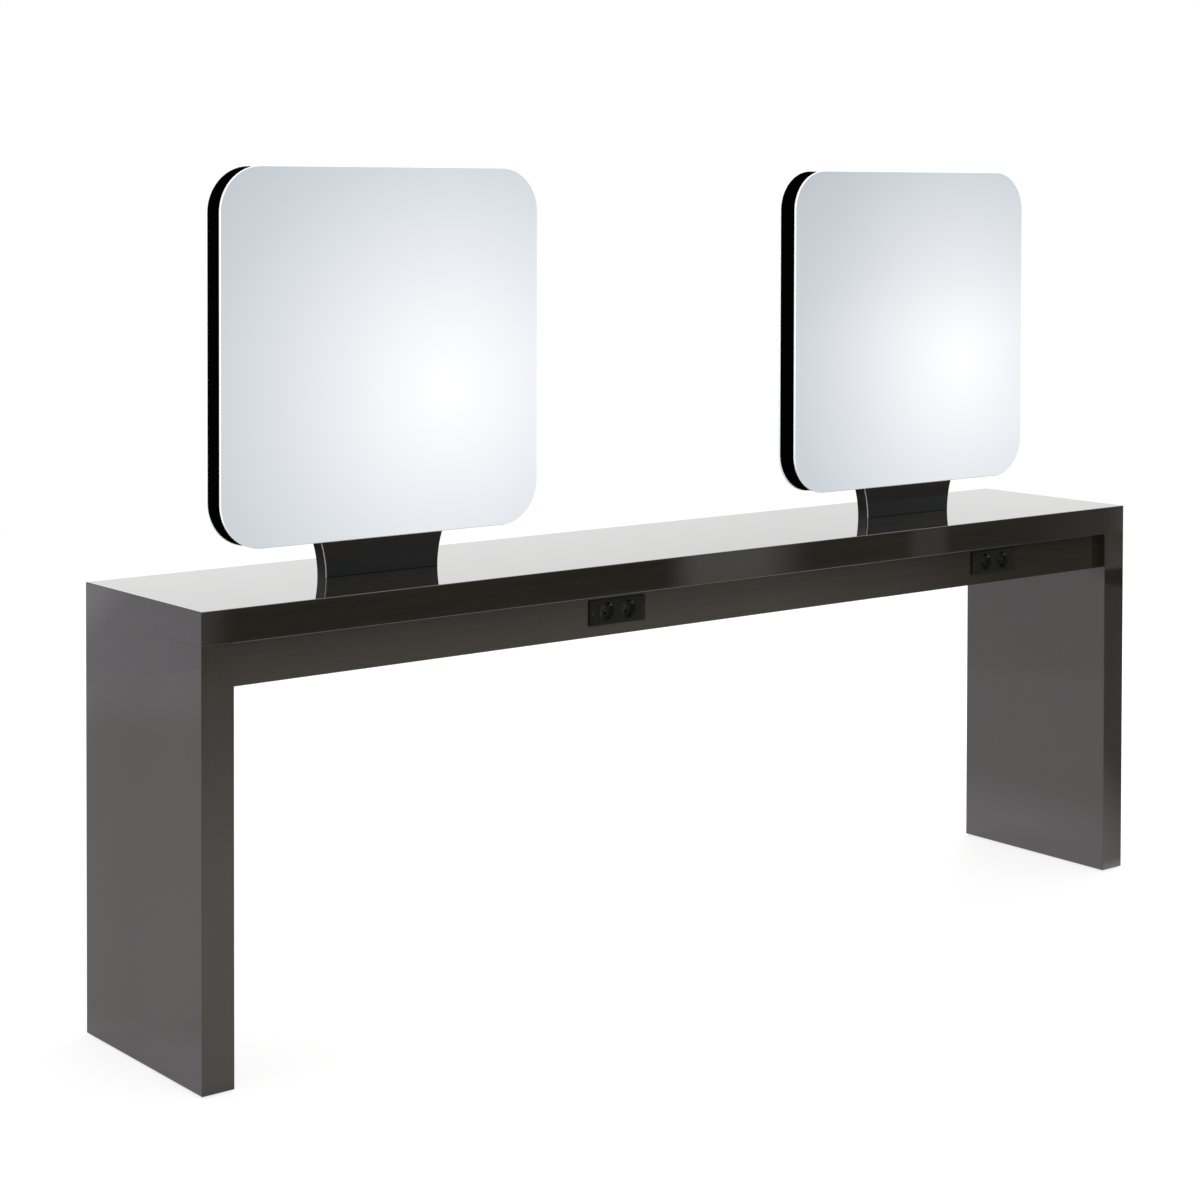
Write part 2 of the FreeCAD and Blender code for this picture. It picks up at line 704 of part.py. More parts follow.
os.makedirs("parts", exist_ok=True)
for node in nodes:
    node.Shape.exportStep(f"parts/{node.Label}.step")
print(f"{len(nodes)} nodes, {sum(len(node.Shape.Solids) for node in nodes)} solids")
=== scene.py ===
import json
import math

import bmesh
import bpy
import numpy as np
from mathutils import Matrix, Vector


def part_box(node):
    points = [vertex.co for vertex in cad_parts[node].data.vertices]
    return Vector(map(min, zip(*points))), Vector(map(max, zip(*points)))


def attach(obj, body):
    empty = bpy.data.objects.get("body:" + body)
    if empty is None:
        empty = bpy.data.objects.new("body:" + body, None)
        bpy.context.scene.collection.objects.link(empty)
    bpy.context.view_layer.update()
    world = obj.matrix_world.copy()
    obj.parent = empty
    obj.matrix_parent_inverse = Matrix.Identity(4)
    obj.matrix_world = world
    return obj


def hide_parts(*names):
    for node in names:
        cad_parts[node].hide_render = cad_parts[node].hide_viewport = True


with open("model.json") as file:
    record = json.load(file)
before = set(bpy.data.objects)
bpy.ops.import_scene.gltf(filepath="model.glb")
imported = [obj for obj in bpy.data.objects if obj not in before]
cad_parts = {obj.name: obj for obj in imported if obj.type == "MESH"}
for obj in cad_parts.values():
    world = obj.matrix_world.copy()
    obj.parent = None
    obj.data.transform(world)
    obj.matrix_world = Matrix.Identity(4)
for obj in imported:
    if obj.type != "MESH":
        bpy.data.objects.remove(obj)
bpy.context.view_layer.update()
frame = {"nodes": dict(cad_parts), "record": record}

nodes = frame["nodes"]
mm = 0.001
quarterTurn = math.pi / 2
print("frame loaded:", len(nodes), "nodes")


def linear(hexText):
    # an sRGB hex colour as the linear values that a shader takes
    levels = np.array([int(hexText[i:i + 2], 16) for i in (1, 3, 5)]) / 255
    values = np.where(levels <= 0.04045, levels / 12.92, ((levels + 0.055) / 1.055) ** 2.4)
    return (*values.tolist(), 1.0)


def addNode(tree, kind, inputs=None, **settings):
    # one node with its settings; an input is a value, or the output that feeds it
    node = tree.nodes.new(kind)
    for name, value in settings.items():
        setattr(node, name, value)
    for name, value in (inputs or {}).items():
        if isinstance(value, bpy.types.NodeSocket):
            tree.links.new(value, node.inputs[name])
        else:
            node.inputs[name].default_value = value
    return node


def emptyTree(owner):
    # the node tree of a new material or world, with nothing in it yet
    owner.use_nodes = True
    owner.node_tree.nodes.clear()
    return owner.node_tree


def startMaterial(name, inputs):
    # a new material, its tree and its surface, with the inputs that are the same all over
    material = bpy.data.materials.new(name)
    tree = emptyTree(material)
    surface = addNode(tree, "ShaderNodeBsdfPrincipled", inputs)
    addNode(tree, "ShaderNodeOutputMaterial", {"Surface": surface.outputs[0]})
    return material, tree, surface


def patternAt(tree, size):
    # object coordinates counted in steps of size: one step of a pattern is that many metres
    where = addNode(tree, "ShaderNodeTexCoord")
    scale = [1 / step for step in size]
    return addNode(tree, "ShaderNodeMapping",
                   {"Vector": where.outputs["Object"], "Scale": scale}).outputs[0]


def setStops(ramp, stops):
    # the ramp's stops as (position, hex colour) pairs
    elements = ramp.color_ramp.elements
    while len(elements) < len(stops):
        elements.new(0.5)
    for element, (position, colour) in zip(elements, stops):
        element.position, element.color = position, linear(colour)


def newObject(name, data):
    # an object in the scene, at the origin
    thing = bpy.data.objects.new(name, data)
    bpy.context.scene.collection.objects.link(thing)
    return thing


def corners(box):
    # a box's low corner, its high corner and the middle between them
    low, high = np.array(box)
    return low, high, (low + high) / 2


def angles(count):
    # evenly spaced angles once round
    return np.arange(count) * 2 * math.pi / count


def rounded(width, height, radius, steps):
    # a rectangle's outline, anticlockwise from the right: at each corner the middle of its
    # circle, plus radius times the cosine and sine of a quarter turn
    angle = np.arange(4)[:, None] * quarterTurn + np.linspace(0, quarterTurn, steps + 1)
    signs = np.array([(1, 1), (-1, 1), (-1, -1), (1, -1)])
    middle = signs * (width / 2 - radius, height / 2 - radius)
    points = middle[:, None] + radius * np.stack([np.cos(angle), np.sin(angle)], axis=-1)
    return points.reshape(-1, 2)


def softEdges(low, high, radiusLow, radiusHigh, steps=5):
    # (inset, level) pairs up a board's edge, a quarter circle at each face: the inset is
    # radius times one less the sine, and the rise is radius times one less the cosine
    angle = np.linspace(0, quarterTurn, steps + 1)
    lessSine, lessCosine = 1 - np.sin(angle), 1 - np.cos(angle)
    start = np.stack([radiusLow * lessSine, low + radiusLow * lessCosine], axis=1)
    end = np.stack([radiusHigh * lessCosine, high - radiusHigh * lessSine], axis=1)
    return np.concatenate([start, end])


def stack(outlineAt, profile, axes=(0, 1, 2)):
    # one ring for each (inset, level) of the profile: the outline at that inset along the first
    # two axes, and the level along the third
    rings = []
    for inset, level in profile:
        flat = outlineAt(inset)
        ring = np.empty((len(flat), 3))
        ring[:, axes[0]] = flat[:, 0]
        ring[:, axes[1]] = flat[:, 1]
        ring[:, axes[2]] = level
        rings.append(ring)
    return np.array(rings)


def turned(profile, count, axis=1):
    # (radius, level) pairs turned about an axis: radius times cosine and sine round it
    angle = angles(count)
    radius, level = np.array(profile).T
    others = [a for a in range(3) if a != axis]
    rings = np.empty((len(radius), count, 3))
    rings[..., others[0]] = radius[:, None] * np.cos(angle)
    rings[..., others[1]] = radius[:, None] * np.sin(angle)
    rings[..., axis] = level[:, None]
    return rings


def meshFrom(name, rings, closed=False):
    # quads between neighbouring rings, from each point to the next and up to the next ring's
    # two, and a face on each end unless the stack closes on itself
    many, count = rings.shape[:2]
    step = np.arange(count)
    after = (step + 1) % count
    pairs = [(i, (i + 1) % many) for i in range(many if closed else many - 1)]
    quads = [np.stack([a * count + step, a * count + after, b * count + after, b * count + step],
                      axis=1) for a, b in pairs]
    faces = np.concatenate(quads).tolist()
    if not closed:
        faces += [step[::-1].tolist(), ((many - 1) * count + step).tolist()]
    mesh = bpy.data.meshes.new(name)
    mesh.from_pydata(rings.reshape(-1, 3).tolist(), [], faces)
    tidyMesh(mesh)
    return mesh


def tidyMesh(mesh):
    # points within a micrometre joined, no faces without area, and every face outwards
    shape = bmesh.new()
    shape.from_mesh(mesh)
    bmesh.ops.remove_doubles(shape, verts=shape.verts, dist=1e-6)
    bmesh.ops.dissolve_degenerate(shape, edges=shape.edges, dist=1e-7)
    bmesh.ops.recalc_face_normals(shape, faces=shape.faces)
    shape.to_mesh(mesh)
    shape.free()


def merged(name, meshes):
    # several meshes as one
    shape = bmesh.new()
    for mesh in meshes:
        shape.from_mesh(mesh)
    whole = bpy.data.meshes.new(name)
    shape.to_mesh(whole)
    shape.free()
    return whole


def moved(mesh, place, about=None, degrees=0.0):
    # a copy of the mesh, turned about one axis and then moved: first times cosine less second
    # times sine, and first times sine plus second times cosine
    copy = mesh.copy()
    points = np.empty(len(copy.vertices) * 3)
    copy.vertices.foreach_get("co", points)
    points = points.reshape(-1, 3)
    if about is not None:
        angle = math.radians(degrees)
        a, b = [(1, 2), (2, 0), (0, 1)][about]
        first, second = points[:, a].copy(), points[:, b].copy()
        points[:, a] = first * math.cos(angle) - second * math.sin(angle)
        points[:, b] = first * math.sin(angle) + second * math.cos(angle)
    copy.vertices.foreach_set("co", (points + np.array(place)).ravel())
    copy.update()
    return copy


def carve(thing, tool, operation="DIFFERENCE"):
    # the tool cut away from the piece or joined on, with the mesh as the modifier leaves it
    cutter = newObject("cutter", tool)
    modifier = thing.modifiers.new("carve", "BOOLEAN")
    modifier.operation, modifier.solver, modifier.object = operation, "EXACT", cutter
    bpy.context.view_layer.update()
    shown = thing.evaluated_get(bpy.context.evaluated_depsgraph_get())
    finished = bpy.data.meshes.new_from_object(shown)
    thing.modifiers.clear()
    thing.data = finished
    bpy.data.objects.remove(cutter)


def piece(name, mesh, finishNames, smooth=35):
    # an object with its finishes, shaded smooth up to an angle in degrees
    mesh.materials.clear()
    for finishName in finishNames:
        mesh.materials.append(finishes[finishName])
    mesh.shade_smooth()
    mesh.set_sharp_from_angle(angle=math.radians(smooth))
    return newObject(name, mesh)


def faceValues(mesh, what):
    # the normals or centres of all faces, a row for each
    values = np.empty(len(mesh.polygons) * 3)
    mesh.polygons.foreach_get(what, values)
    return values.reshape(-1, 3)


def chooseFinish(thing, numbers):
    # which of the piece's finishes each face takes
    thing.data.polygons.foreach_set("material_index", np.asarray(numbers, dtype=np.int32))


def finish(thing, body, slot, *replaced):
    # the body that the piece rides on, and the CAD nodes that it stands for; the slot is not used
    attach(thing, body)
    if replaced:
        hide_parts(*replaced)


# materials: the size of each pattern is the real size of what it stands for

def lacquer(name, grainSteps):
    # polyester lacquer over dark-stained veneer, sprayed and buffed: a deep near-black brown
    # under a mirror-like skin, with the veneer's grain just showing and a trace of orange peel
    material, tree, surface = startMaterial(name, {"IOR": 1.5, "Specular IOR Level": 0.5})
    grain = addNode(tree, "ShaderNodeTexNoise",
                    {"Vector": patternAt(tree, grainSteps), "Scale": 1.0, "Detail": 5.0,
                     "Roughness": 0.6, "Distortion": 0.4})
    tone = addNode(tree, "ShaderNodeValToRGB", {"Fac": grain.outputs["Fac"]})
    setStops(tone, ((0.35, "#1F1B16"), (0.65, "#24201A")))
    tree.links.new(tone.outputs["Color"], surface.inputs["Base Color"])
    haze = addNode(tree, "ShaderNodeTexNoise",
                   {"Vector": patternAt(tree, (110 * mm,) * 3), "Scale": 1.0})
    gloss = addNode(tree, "ShaderNodeMapRange",
                    {"Value": haze.outputs["Fac"], "To Min": 0.02, "To Max": 0.045})
    tree.links.new(gloss.outputs[0], surface.inputs["Roughness"])
    peel = addNode(tree, "ShaderNodeTexNoise",
                   {"Vector": patternAt(tree, (4 * mm,) * 3), "Scale": 1.0, "Detail": 1.0})
    bump = addNode(tree, "ShaderNodeBump",
                   {"Height": peel.outputs["Fac"], "Strength": 0.25, "Distance": 0.0006 * mm})
    tree.links.new(bump.outputs[0], surface.inputs["Normal"])
    return material


def plain(name, colour, otherColour, roughness, metallic=0.0, patch=20 * mm, grit=0.6 * mm,
          depth=0.0, **more):
    # a base colour that drifts in patches, with a fine surface grit of the given size and depth
    inputs = {"Metallic": metallic, "Roughness": roughness}
    inputs.update({key.replace("_", " "): value for key, value in more.items()})
    material, tree, surface = startMaterial(name, inputs)
    drift = addNode(tree, "ShaderNodeTexNoise",
                    {"Vector": patternAt(tree, (patch,) * 3), "Scale": 1.0, "Detail": 3.0})
    tone = addNode(tree, "ShaderNodeMix",
                   {"Factor": drift.outputs["Fac"], 6: linear(colour), 7: linear(otherColour)},
                   data_type="RGBA")
    tree.links.new(tone.outputs[2], surface.inputs["Base Color"])
    gloss = addNode(tree, "ShaderNodeMapRange",
                    {"Value": drift.outputs["Fac"], "To Min": roughness * 0.8,
                     "To Max": roughness * 1.25})
    tree.links.new(gloss.outputs[0], surface.inputs["Roughness"])
    if depth:
        grain = addNode(tree, "ShaderNodeTexNoise",
                        {"Vector": patternAt(tree, (grit,) * 3), "Scale": 1.0})
        bump = addNode(tree, "ShaderNodeBump",
                       {"Height": grain.outputs["Fac"], "Strength": 0.6, "Distance": depth})
        tree.links.new(bump.outputs[0], surface.inputs["Normal"])
    return material


def beech(name):
    # planed beech: pale pinkish brown with short darker flecks along the grain
    material, tree, surface = startMaterial(name, {"Roughness": 0.6})
    fibre = addNode(tree, "ShaderNodeTexNoise",
                    {"Vector": patternAt(tree, (80 * mm, 4 * mm, 4 * mm)), "Scale": 1.0,
                     "Detail": 6.0, "Roughness": 0.65})
    fleck = addNode(tree, "ShaderNodeTexVoronoi",
                    {"Vector": patternAt(tree, (9 * mm, 1.6 * mm, 1.6 * mm)), "Scale": 1.0})
    tone = addNode(tree, "ShaderNodeValToRGB", {"Fac": fibre.outputs["Fac"]})
    setStops(tone, ((0.3, "#B98D62"), (0.7, "#D9B48A")))
    dark = addNode(tree, "ShaderNodeMapRange",
                   {"Value": fleck.outputs["Distance"], "From Max": 0.25, "To Min": 0.35,
                    "To Max": 0.0})
    mix = addNode(tree, "ShaderNodeMix",
                  {"Factor": dark.outputs[0], 6: tone.outputs["Color"], 7: linear("#8A5F3C")},
                  data_type="RGBA")
    tree.links.new(mix.outputs[2], surface.inputs["Base Color"])
    bump = addNode(tree, "ShaderNodeBump",
                   {"Height": fibre.outputs["Fac"], "Strength": 0.4, "Distance": 0.1 * mm})
    tree.links.new(bump.outputs[0], surface.inputs["Normal"])
    return material


finishes = {
    # the veneer's figure is about 350 mm long and 9 mm wide, along the board
    "lacquerAlong": lacquer("espressoLacquer", (350 * mm, 9 * mm, 9 * mm)),
    "lacquerUpright": lacquer("espressoLacquerUpright", (9 * mm, 9 * mm, 350 * mm)),
    # float glass silvered on the back: a clear image with the faintest green
    "silver": plain("silveredGlass", "#F1F2F2", "#F3F3F4", 0.003, metallic=1.0, patch=300 * mm),
    # the pane's ground edge: pale, with a faint painted glow (emission) standing in for the light
    # that the pane carries to it
    "glassEdgeWithGlow": plain("paleGlassEdgePaintedGlow", "#EEF5F2", "#F5F9F8", 0.25, patch=30 * mm,
                       Emission_Strength=0.3),
    # the paint over the silvering: a flat dark grey
    "glassBack": plain("mirrorBackingPaint", "#3B3E40", "#46494B", 0.5, patch=50 * mm),
    # fibreboard under dead-matt black spray: it gives almost nothing back
    "board": plain("blackSprayedBoard", "#020202", "#040404", 0.9, patch=40 * mm, grit=1.2 * mm,
                   depth=0.02 * mm, Specular_IOR_Level=0.0),
    # the neck's board has its edges lacquered like the table
    "neckBoard": plain("lacqueredNeckBoard", "#231F1C", "#29241F", 0.1, patch=50 * mm),
    # cast acrylic, flame polished: glossy black; its broken edges are pale grey, a painted
    # highlight in place of the light they catch
    "acrylic": plain("blackAcrylic", "#0F0E0D", "#131211", 0.04, patch=50 * mm,
                     Specular_IOR_Level=0.35),
    # painted highlight: a pale grey on the broken edges that stands in for the light they catch
    "acrylicEdgeHighlight": plain("acrylicEdgePaintedHighlight", "#C4C1BC", "#CFCCC8", 0.3),
    # moulded urea: black with a cool cast, dull from the tool's spark finish
    "socket": plain("mouldedUrea", "#10110D", "#151611", 0.38, patch=15 * mm, grit=0.5 * mm,
                    depth=0.006 * mm, Specular_IOR_Level=0.08),
    # inside the recesses a slightly paler black: painted light that lifts the shade in the recesses
    "recess": plain("mouldedUreaRecessPaintedLight", "#252621", "#2B2C27", 0.3, patch=15 * mm,
                    Specular_IOR_Level=0.2),
    # steel screws with a black passivated coat, worn grey on the crests
    "blackScrew": plain("blackenedScrew", "#242422", "#32322F", 0.36, metallic=1.0,
                        patch=1.5 * mm),
    # moulded polypropylene: dark grey, with a fine spark-eroded texture
    "box": plain("mouldedPolypropylene", "#2A2B2C", "#333435", 0.55, patch=30 * mm,
                 grit=1 * mm, depth=0.02 * mm),
    # cold-rolled steel, zinc plated: bluish grey with a cloudy lustre
    "zinc": plain("zincPlatedSteel", "#B9BDC2", "#9EA3AA", 0.33, metallic=1.0, patch=12 * mm,
                  grit=0.8 * mm, depth=0.015 * mm),
    # turned or cold-headed steel with bright zinc: whiter and more even
    "screw": plain("brightZincScrew", "#C9CCD0", "#B4B8BE", 0.24, metallic=1.0, patch=4 * mm),
    # rolled spring steel, nickel plated: warm grey with a clear sheen
    "nickel": plain("nickelSpringSteel", "#CFCABD", "#BDB8AC", 0.22, metallic=1.0,
                    patch=6 * mm),
    # rolled brass, left bare: yellow, slightly darker where it was touched
    "brass": plain("rolledBrass", "#D8B366", "#C49C4E", 0.28, metallic=1.0, patch=5 * mm),
    # moulded nylon: near black, dull from the tool's texture
    "nylon": plain("mouldedNylon", "#26272A", "#2E2F32", 0.45, patch=10 * mm, grit=0.8 * mm,
                   depth=0.02 * mm),
    "beech": beech("planedBeech"),
}
slotFinish = {"dark_lacquer": "lacquerAlong", "black_board": "board", "mirror_glass": "silver",
              "black_gloss": "acrylic", "zinc_steel": "zinc", "screw_steel": "screw",
              "nickel_spring": "nickel", "brass": "brass", "beech": "beech", "nylon": "nylon",
              "socket_black": "socket", "box_plastic": "box"}
for part in frame["record"]["subparts"]:
    neckPart = part["node"].startswith("neck_")
    node = nodes[part["node"]]
    node.data.materials.clear()
    node.data.materials.append(
        finishes["neckBoard" if neckPart else slotFinish[part["material_slot"]]])
print("materials ready:", len(finishes))


boards = {
    "topEdge": 1.4 * mm,      # rounding of the worktop's upper edges
    "lowEdge": 2.0 * mm,      # rounding of the other long edges
    "corner": 1.2 * mm,       # rounding of the upright edges
    "cornerSteps": 4,
    "cornerLeft": 0.15,       # the share of that rounding that no inset takes away
    "jointEdge": 0.2 * mm,    # rounding where an end panel meets the worktop
    "endShare": 0.3,          # the share of the lower rounding at the worktop's two ends
}


def lacqueredBoard(name, node, lowEdge, topEdge, finishName, endShare=1.0):
    # the CAD board's box as a stack of rings: at each level its outline less that level's inset
    low, high, middle = corners(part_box(node))
    size = high - low
    profile = softEdges(low[2], high[2], lowEdge, topEdge)

    def outlineAt(inset):
        radius = max(boards["corner"] - inset, boards["corner"] * boards["cornerLeft"])
        flat = rounded(size[0] - 2 * inset, size[1] - 2 * inset, radius, boards["cornerSteps"])
        return flat + middle[:2]

    rings = stack(outlineAt, profile)
    # the lower rings are stretched along X until only a share of their inset is left at the ends
    half = size[0] / 2
    inset = np.where(profile[:, 1] < middle[2], profile[:, 0], 0.0)
    stretch = (half - inset * endShare) / (half - inset)
    rings[..., 0] = middle[0] + (rings[..., 0] - middle[0]) * stretch[:, None]
    thing = piece(name, meshFrom(name, rings), [finishName], smooth=40)
    # the flat faces stay flat in the shading, next to their rounded edges
    thing.modifiers.new("flatFaces", "WEIGHTED_NORMAL").weight = 100
    finish(thing, "station", "dark_lacquer", node)


lacqueredBoard("worktopBoard", "worktop", boards["lowEdge"], boards["topEdge"], "lacquerAlong",
               boards["endShare"])
for side in ("left", "right"):
    lacqueredBoard(f"endBoard_{side}", f"end_panel_{side}", boards["lowEdge"],
                   boards["jointEdge"], "lacquerUpright")
print("boards ready")


# corner is the radius of the pane's outline, and flat the part of a normal that counts as facing
mirror = {"arris": 0.9 * mm, "corner": 92 * mm, "cornerSteps": 40, "flat": 0.99}


def mirrorPane(side, face):
    # a rounded rectangle, less the arris at each face; silver in front, paint behind
    node = f"mirror_{side}_glass_{face}"
    low, high, middle = corners(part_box(node))
    size = high - low
    arris = mirror["arris"]
    profile = [(arris, low[1]), (0, low[1] + arris), (0, high[1] - arris), (arris, high[1])]

    def outlineAt(inset):
        flat = rounded(size[0] - 2 * inset, size[2] - 2 * inset, mirror["corner"] - inset,
                       mirror["cornerSteps"])
        return flat + (middle[0], middle[2])

    name = f"mirrorPane_{side}_{face}"
    rings = stack(outlineAt, profile, (0, 2, 1))
    thing = piece(name, meshFrom(name, rings), ["glassEdgeWithGlow", "silver", "glassBack"], smooth=20)
    # the faces round the edge, neither front nor back, take the pale edge with its painted glow
    facing = faceValues(thing.data, "normal")[:, 1] * (-1 if face == "front" else 1)
    chooseFinish(thing, np.select([facing > mirror["flat"], facing < -mirror["flat"]], [1, 2]))
    finish(thing, "station", "mirror_glass", node)


for side in ("left", "right"):
    for face in ("front", "rear"):
        mirrorPane(side, face)
print("mirror panes ready")


neck = {
    "width": 272 * mm, "edge": 1.6 * mm, "steps": 24,
    "flare": 13 * mm,         # how far each side bows outwards from the foot to the mirror
    "endInset": 0.5,          # the share of a broken edge that foot and head take
    # the faces picked out by this range take the painted highlight
    "broken": (0.5, 0.9),     # how far a broken edge's normal points outwards, from and to
}


def neckCheek(side, face):
    # sides that start upright and bow outwards in a circular arc: half the width, plus radius
    # less the root of radius squared less height squared
    node = f"neck_{side}_cheek_{face}"
    low, high, middle = corners(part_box(node))
    rise = high[2] - low[2]
    radius = (neck["flare"] ** 2 + rise ** 2) / (2 * neck["flare"])

    def outlineAt(inset):
        start = inset * neck["endInset"]
        height = np.linspace(start, rise - start, neck["steps"])
        half = neck["width"] / 2 - inset + radius - np.sqrt(radius ** 2 - height ** 2)
        right = np.stack([middle[0] + half, low[2] + height], axis=1)
        left = np.stack([middle[0] - half, low[2] + height], axis=1)[::-1]
        return np.concatenate([right, left])

    edge = neck["edge"]
    if face == "rear":
        profile = [(0, low[1]), (0, high[1] - edge), (edge, high[1])]
    else:
        profile = [(edge, low[1]), (0, low[1] + edge), (0, high[1])]
    name = f"neckCheek_{side}_{face}"
    rings = stack(outlineAt, profile, (0, 2, 1))
    thing = piece(name, meshFrom(name, rings), ["acrylic", "acrylicEdgeHighlight"], smooth=20)
    # the broken edges up both sides face partly sideways and partly outwards; they take the painted
    # highlight
    sideways, outwards, _ = np.abs(faceValues(thing.data, "normal")).T
    least, most = neck["broken"]
    chooseFinish(thing, (outwards > least) & (outwards < most) & (sideways > least))
    finish(thing, "station", "black_gloss", node)


for side in ("left", "right"):
    for face in ("front", "rear"):
        neckCheek(side, face)
print("necks ready")


socket = {
    "plate": (149 * mm, 54 * mm, 4 * mm), "plateCorner": 3 * mm, "plateEdge": 0.8 * mm,
    "body": (108 * mm, 43 * mm, 30 * mm), "bodyCorner": 1 * mm,
    "cornerSteps": 10, "edgeSteps": 4,
    # the recesses, with a rim whose rounding is in shares of it: outwards and inwards
    "pitch": 57 * mm, "bore": 39.5 * mm, "floor": 13.5 * mm, "floorEdge": 0.4 * mm,
    "rim": 0.6 * mm, "rimRound": ((1, 0), (0.3, 0.4), (0, 1.2)), "around": 96,
    # the raised lip round each recess, with its rounding in shares of its width and rise
    "lipWidth": 1.3 * mm, "lipRise": 0.7 * mm, "lipRound": ((1, 0.5), (0.8, 0.9), (0.5, 1)),
    "lipSeat": 0.5 * mm, "lipOverlap": 0.3 * mm,
    "turn": 45.0,             # degrees, so that the pins run from upper left to lower right
    "pinSpacing": 19 * mm, "pinHole": 6 * mm, "pinFloor": 4 * mm, "leadIn": 0.5 * mm,
    "pinAround": 40, "pinOverlap": 0.3 * mm,
    "rib": (3.1 * mm, 4.6 * mm), "ribCorner": 0.8 * mm, "ribMiddle": 18.7 * mm,
    "ribStart": 2 * mm, "ribSeat": 0.2 * mm,
    "chamber": (7.4 * mm, 5.4 * mm),
    "clear": (3 * mm, 1 * mm),    # how far the tools reach out of the plate and of the body
    "slack": 0.1 * mm,            # up to here behind its floor, a face still counts as in a recess
}


def block(width, height, y0, y1, x=0.0, radius=0.2 * mm, degrees=0.0, about=(0.0, 0.0)):
    # a bar along Y with rounded edges, its outline turned about a point of the X-Z plane:
    # x times cosine plus z times sine, and z times cosine less x times sine
    flat = rounded(width, height, radius, 2) + (x, 0.0)
    angle = math.radians(degrees)
    spun = np.stack([flat[:, 0] * math.cos(angle) + flat[:, 1] * math.sin(angle),
                     flat[:, 1] * math.cos(angle) - flat[:, 0] * math.sin(angle)], axis=1) + about
    return meshFrom("bar", stack(lambda inset: spun, [(0, y0), (0, y1)], (0, 2, 1)))


def socketShell():
    # plate and body in one stack of rings: the plate's front edge is a quarter circle, whose
    # inset is its radius times one less the sine
    width, height, depth = socket["plate"]
    bodyWidth, bodyHeight, bodyDepth = socket["body"]
    edge, steps = socket["plateEdge"], socket["cornerSteps"]
    turn = np.linspace(0, quarterTurn, socket["edgeSteps"] + 1)
    insets = [edge * (1 - math.sin(a)) for a in turn]
    rings = [rounded(width - 2 * inset, height - 2 * inset, socket["plateCorner"] - inset, steps)
             for inset in insets]
    levels = [-depth + edge * (1 - math.cos(a)) for a in turn]
    rings += [rings[-1]] + [rounded(bodyWidth, bodyHeight, socket["bodyCorner"], steps)] * 2
    levels += [0.0, 0.0, bodyDepth]
    return np.array([np.stack([ring[:, 0], np.full(len(ring), level), ring[:, 1]], axis=1)
                     for ring, level in zip(rings, levels)])


def socketHousing():
    # the shell with its recesses, ribs, pin holes and chambers, and which faces lie in a recess, to
    # take the paler colour that paints light into them
    thing = piece("socketMaster", meshFrom("socketMaster", socketShell()), ["socket"])
    outlets = [(-socket["pitch"] / 2, 0.0), (socket["pitch"] / 2, 0.0)]
    plateFace, bodyBack = -socket["plate"][2], socket["body"][2]
    radius, floor, around = socket["bore"] / 2, socket["floor"], socket["around"]
    outOfPlate, outOfBody = socket["clear"]

    def atOutlets(mesh):
        return merged("tools", [moved(mesh, (x, 0, z)) for x, z in outlets])

    width, rise = socket["lipWidth"], socket["lipRise"]
    top, seat = plateFace - rise, plateFace + socket["lipSeat"]
    inner = radius - socket["lipOverlap"]
    lip = [(radius + width * across, plateFace - rise * up) for across, up in socket["lipRound"]]
    lip = turned([(radius + width, seat), *lip, (inner, top), (inner, seat)], around)
    carve(thing, atOutlets(meshFrom("lip", lip, closed=True)), "UNION")

    rim, edge, outside = socket["rim"], socket["floorEdge"], plateFace - outOfPlate
    recess = [(radius + rim * across, top + rim * deep) for across, deep in socket["rimRound"]]
    recess = turned([(0, outside), (radius + rim, outside), *recess, (radius, floor - edge),
                     (radius - edge, floor), (0, floor)], around)
    carve(thing, atOutlets(meshFrom("recess", recess)))

    degrees = socket["turn"]
    ribs = [block(*socket["rib"], plateFace + socket["ribStart"], floor + socket["ribSeat"],
                  x=sign * socket["ribMiddle"], radius=socket["ribCorner"], degrees=degrees,
                  about=outlet)
            for outlet in outlets for sign in (-1, 1)]
    carve(thing, merged("ribs", ribs), "UNION")

    hole, lead = socket["pinHole"] / 2, socket["leadIn"]
    pinFloor = floor + socket["pinFloor"]
    start, end = floor - lead, pinFloor + socket["pinOverlap"]
    pinHole = turned([(0, start), (hole + lead, start), (hole + lead, floor),
                      (hole, floor + lead), (hole, end), (0, end)], socket["pinAround"])
    angle = math.radians(degrees)
    tools = []
    for x, z in outlets:
        for sign in (-1, 1):
            reach = sign * socket["pinSpacing"] / 2
            place = (x + reach * math.cos(angle), 0, z - reach * math.sin(angle))
            tools.append(moved(meshFrom("pin", pinHole), place))
            tools.append(block(*socket["chamber"], pinFloor, bodyBack + outOfBody, x=reach,
                               degrees=degrees, about=(x, z)))
    for tool in tools:
        carve(thing, tool)
    tidyMesh(thing.data)

    x, y, z = faceValues(thing.data, "center").T
    reach = np.min([np.hypot(x - atX, z - atZ) for atX, atZ in outlets], axis=0)
    return thing, (reach < radius) & (y > plateFace) & (y < floor + socket["slack"])


screw = {
    # head across, rise of the head, and shank across
    "plate": (6.4 * mm, 1.2 * mm, 3 * mm), "centre": (5.6 * mm, 1.0 * mm, 2.6 * mm),
    "plateTwists": (20, 63), "centreTwists": (41, 8),    # degrees that the crosses are turned by
    "spacing": 134 * mm, "around": 40,
    "dome": 0.75, "domeSteps": 6,             # the share of the head's rise that is domed
    "neck": 0.8 * mm, "reach": 3 * mm,        # levels of the cone's end and of the shank's end
    "cross": (0.6, 0.13),                     # the cross bars' length and width against the head
    "crossLeft": 0.35,                        # the share of the rise that the cross leaves
    "crossCorner": 0.1 * mm, "clear": 1 * mm,
}


